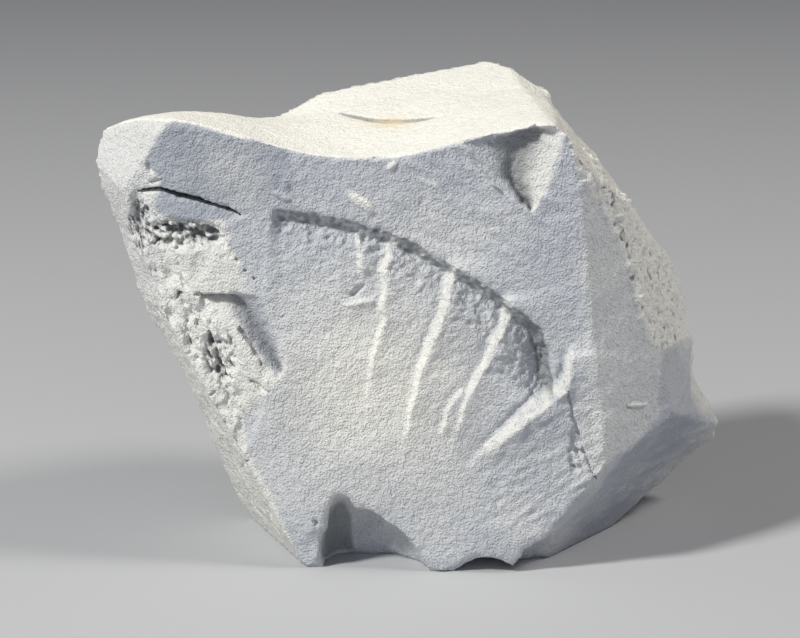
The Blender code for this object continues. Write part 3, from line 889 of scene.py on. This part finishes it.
def clay_material(colours):
    material = bpy.data.materials.new("kaolin clay")
    material.use_nodes = True
    tree = material.node_tree
    nodes = tree.nodes
    nodes.clear()

    def add(kind, **settings):
        node = nodes.new(kind)
        for key, value in settings.items():
            setattr(node, key, value)
        return node

    def link(a, b):
        tree.links.new(a, b)

    out = add("ShaderNodeOutputMaterial")
    shader = add("ShaderNodeBsdfPrincipled")
    shader.inputs["Roughness"].default_value = 0.95
    shader.inputs["Specular IOR Level"].default_value = 0.2
    link(shader.outputs["BSDF"], out.inputs["Surface"])
    place = add("ShaderNodeTexCoord").outputs["Object"]

    def clouds(scale, detail=3.0, rough=0.55):
        texture = add("ShaderNodeTexNoise")
        texture.inputs["Scale"].default_value = scale
        texture.inputs["Detail"].default_value = detail
        texture.inputs["Roughness"].default_value = rough
        link(place, texture.inputs["Vector"])
        return texture.outputs["Fac"]

    def between(value, low, high):
        ramp = add("ShaderNodeMapRange", clamp=True, interpolation_type="SMOOTHSTEP")
        link(value, ramp.inputs["Value"])
        ramp.inputs["From Min"].default_value = low
        ramp.inputs["From Max"].default_value = high
        return ramp.outputs["Result"]

    def mixed(share, first, second):
        mix = add("ShaderNodeMix", data_type="RGBA")
        link(share, mix.inputs["Factor"])
        for socket, value in ((mix.inputs[6], first), (mix.inputs[7], second)):
            if isinstance(value, bpy.types.NodeSocket):
                link(value, socket)
            else:
                socket.default_value = (*value, 1.0)
        return mix.outputs[2]

    def field(name):
        attribute = add("ShaderNodeAttribute", attribute_type="GEOMETRY", attribute_name=name)
        return attribute.outputs["Fac"]

    def scaled(value, factor):
        times = add("ShaderNodeMath", operation="MULTIPLY")
        link(value, times.inputs[0])
        times.inputs[1].default_value = factor
        return times.outputs["Value"]

    def product(first, second):
        times = add("ShaderNodeMath", operation="MULTIPLY")
        link(first, times.inputs[0])
        link(second, times.inputs[1])
        return times.outputs["Value"]

    # Grey painted shade over the cream
    colour = mixed(field("shade_grey"), colours.cream, colours.shade_grey)
    # The dull colour, which carries the painted shade of the recess, the scoop's side and the tip
    colour = mixed(field("dull_and_shade"), colour, colours.dull_and_shade)
    patches = between(clouds(70.0), 0.45, 0.70)
    colour = mixed(scaled(patches, 0.35), colour, colours.cream)
    specks = between(clouds(1300.0, 2.0), 0.55, 0.75)
    colour = mixed(scaled(specks, 0.3), colour, colours.dull_and_shade)
    sand = scaled(between(clouds(4200.0, 0.0), 0.4, 0.75), 0.5)
    colour = mixed(product(sand, between(field("shade_grey"), -0.5, 0.9)), colour, colours.dull_and_shade)
    # Painted shade in pits, hollows, the crease, the scarp's wall and the notch
    colour = mixed(scaled(between(field("deep"), 0.7, 1.9), 0.75), colour, colours.hollow_shade)
    colour = mixed(field("stain"), colour, colours.stain)
    link(colour, shader.inputs["Base Color"])

    lumps = add("ShaderNodeBump")
    lumps.inputs["Strength"].default_value = 1.0
    lumps.inputs["Distance"].default_value = LUMP_BUMP
    link(clouds(1100.0, 2.0, 0.5), lumps.inputs["Height"])
    grains = add("ShaderNodeBump")
    grains.inputs["Strength"].default_value = 1.0
    grains.inputs["Distance"].default_value = GRAIN_BUMP
    link(clouds(3600.0, 1.0, 0.5), grains.inputs["Height"])
    link(lumps.outputs["Normal"], grains.inputs["Normal"])
    link(grains.outputs["Normal"], shader.inputs["Normal"])
    return material


class KAOLIN_OT_stone(bpy.types.Operator):
    """Cut, bite and weather the lump of clay rock, and give it its finish"""

    bl_idname = "kaolin.stone"
    bl_label = "Build Stone"

    def execute(self, context):
        sizes = context.scene.kaolin_sizes
        stone = cut_block()
        for name, (centre, half_sizes, turn) in BITES.items():
            bite(stone, name, centre, half_sizes, turn)
        apply_modifier(stone, "skin", "REMESH", mode="VOXEL", voxel_size=sizes.skin)
        apply_modifier(stone, "ease", "SMOOTH", factor=0.5, iterations=1)
        sharpen_edges(stone.data)
        shape_form(stone.data, sizes)
        split_faces(stone, seen_faces(stone.data))
        split_faces(stone, bent_faces(stone.data, sizes))
        shape_markings(stone.data, sizes)
        apply_modifier(stone, "triangles", "TRIANGULATE")
        stone.data.shade_smooth()
        stone.data.materials.clear()
        stone.data.materials.append(clay_material(context.scene.kaolin_colours))
        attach(stone, "root")
        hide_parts(NODE)
        return {"FINISHED"}


def aim(obj, target):
    obj.rotation_euler = (obj.location - Vector(target)).to_track_quat("Z", "Y").to_euler()


def area_light(name, power):
    place, size, colour = LIGHTS[name]
    data = bpy.data.lights.new(name, "AREA")
    data.shape = "DISK"
    data.size = size
    data.energy = power
    data.color = colour
    light = bpy.data.objects.new(name, data)
    bpy.context.scene.collection.objects.link(light)
    light.location = place
    aim(light, LIGHTS_AIM)


class KAOLIN_OT_stage(bpy.types.Operator):
    """Lay the pale floor, set the studio lights and place the camera"""

    bl_idname = "kaolin.stage"
    bl_label = "Build Stage"

    def execute(self, context):
        scene = context.scene
        settings = scene.kaolin_stage
        bpy.ops.object.select_all(action="DESELECT")
        bpy.ops.mesh.primitive_plane_add(size=FLOOR_SIZE, location=(0, 0, 0))
        floor = context.object
        floor.name = "floor"
        paper = bpy.data.materials.new("pale floor")
        paper.use_nodes = True
        shader = paper.node_tree.nodes["Principled BSDF"]
        shader.inputs["Base Color"].default_value = (*FLOOR_COLOUR, 1.0)
        shader.inputs["Roughness"].default_value = 0.9
        floor.data.materials.append(paper)

        area_light("key", settings.key)
        area_light("fill", settings.fill)
        area_light("side", settings.side)
        world = bpy.data.worlds.new("studio")
        world.use_nodes = True
        background = world.node_tree.nodes["Background"]
        background.inputs["Color"].default_value = (*SKY_COLOUR, 1.0)
        background.inputs["Strength"].default_value = settings.ambient
        scene.world = world
        scene.view_settings.view_transform = "Standard"

        data = bpy.data.cameras.new("camera")
        data.lens = 120.0
        data.sensor_width = 36.0
        data.clip_start = 0.01
        camera = bpy.data.objects.new("camera", data)
        scene.collection.objects.link(camera)
        back = Vector((0.0, -math.cos(LOOK_DOWN), math.sin(LOOK_DOWN)))
        camera.location = (Vector(EYE_AIM) + back * EYE_DISTANCE) * MM
        aim(camera, Vector(EYE_AIM) * MM)
        scene.camera = camera
        return {"FINISHED"}


class KAOLIN_PT_panel(bpy.types.Panel):
    """The lump's sizes, colours and stage"""

    bl_idname = "KAOLIN_PT_panel"
    bl_label = "Kaolin Lump"
    bl_space_type = "VIEW_3D"
    bl_region_type = "UI"
    bl_category = "Kaolin"

    def draw(self, context):
        for group_name in GROUPS:
            group = getattr(context.scene, group_name)
            box = self.layout.box()
            for name in group.__annotations__:
                box.prop(group, name)
        for operator in OPERATORS:
            self.layout.operator(operator.bl_idname)


GROUPS = {"kaolin_sizes": KaolinSizes, "kaolin_colours": KaolinColours, "kaolin_stage": KaolinStage}
OPERATORS = (KAOLIN_OT_stone, KAOLIN_OT_stage)


def register():
    for cls in (*GROUPS.values(), *OPERATORS, KAOLIN_PT_panel):
        bpy.utils.register_class(cls)
    for name, cls in GROUPS.items():
        setattr(bpy.types.Scene, name, bpy.props.PointerProperty(type=cls))


def unregister():
    for name in GROUPS:
        delattr(bpy.types.Scene, name)
    for cls in reversed((*GROUPS.values(), *OPERATORS, KAOLIN_PT_panel)):
        bpy.utils.unregister_class(cls)


def main():
    register()
    bpy.ops.kaolin.stone()
    bpy.ops.kaolin.stage()


if __name__ == "__main__":
    main()
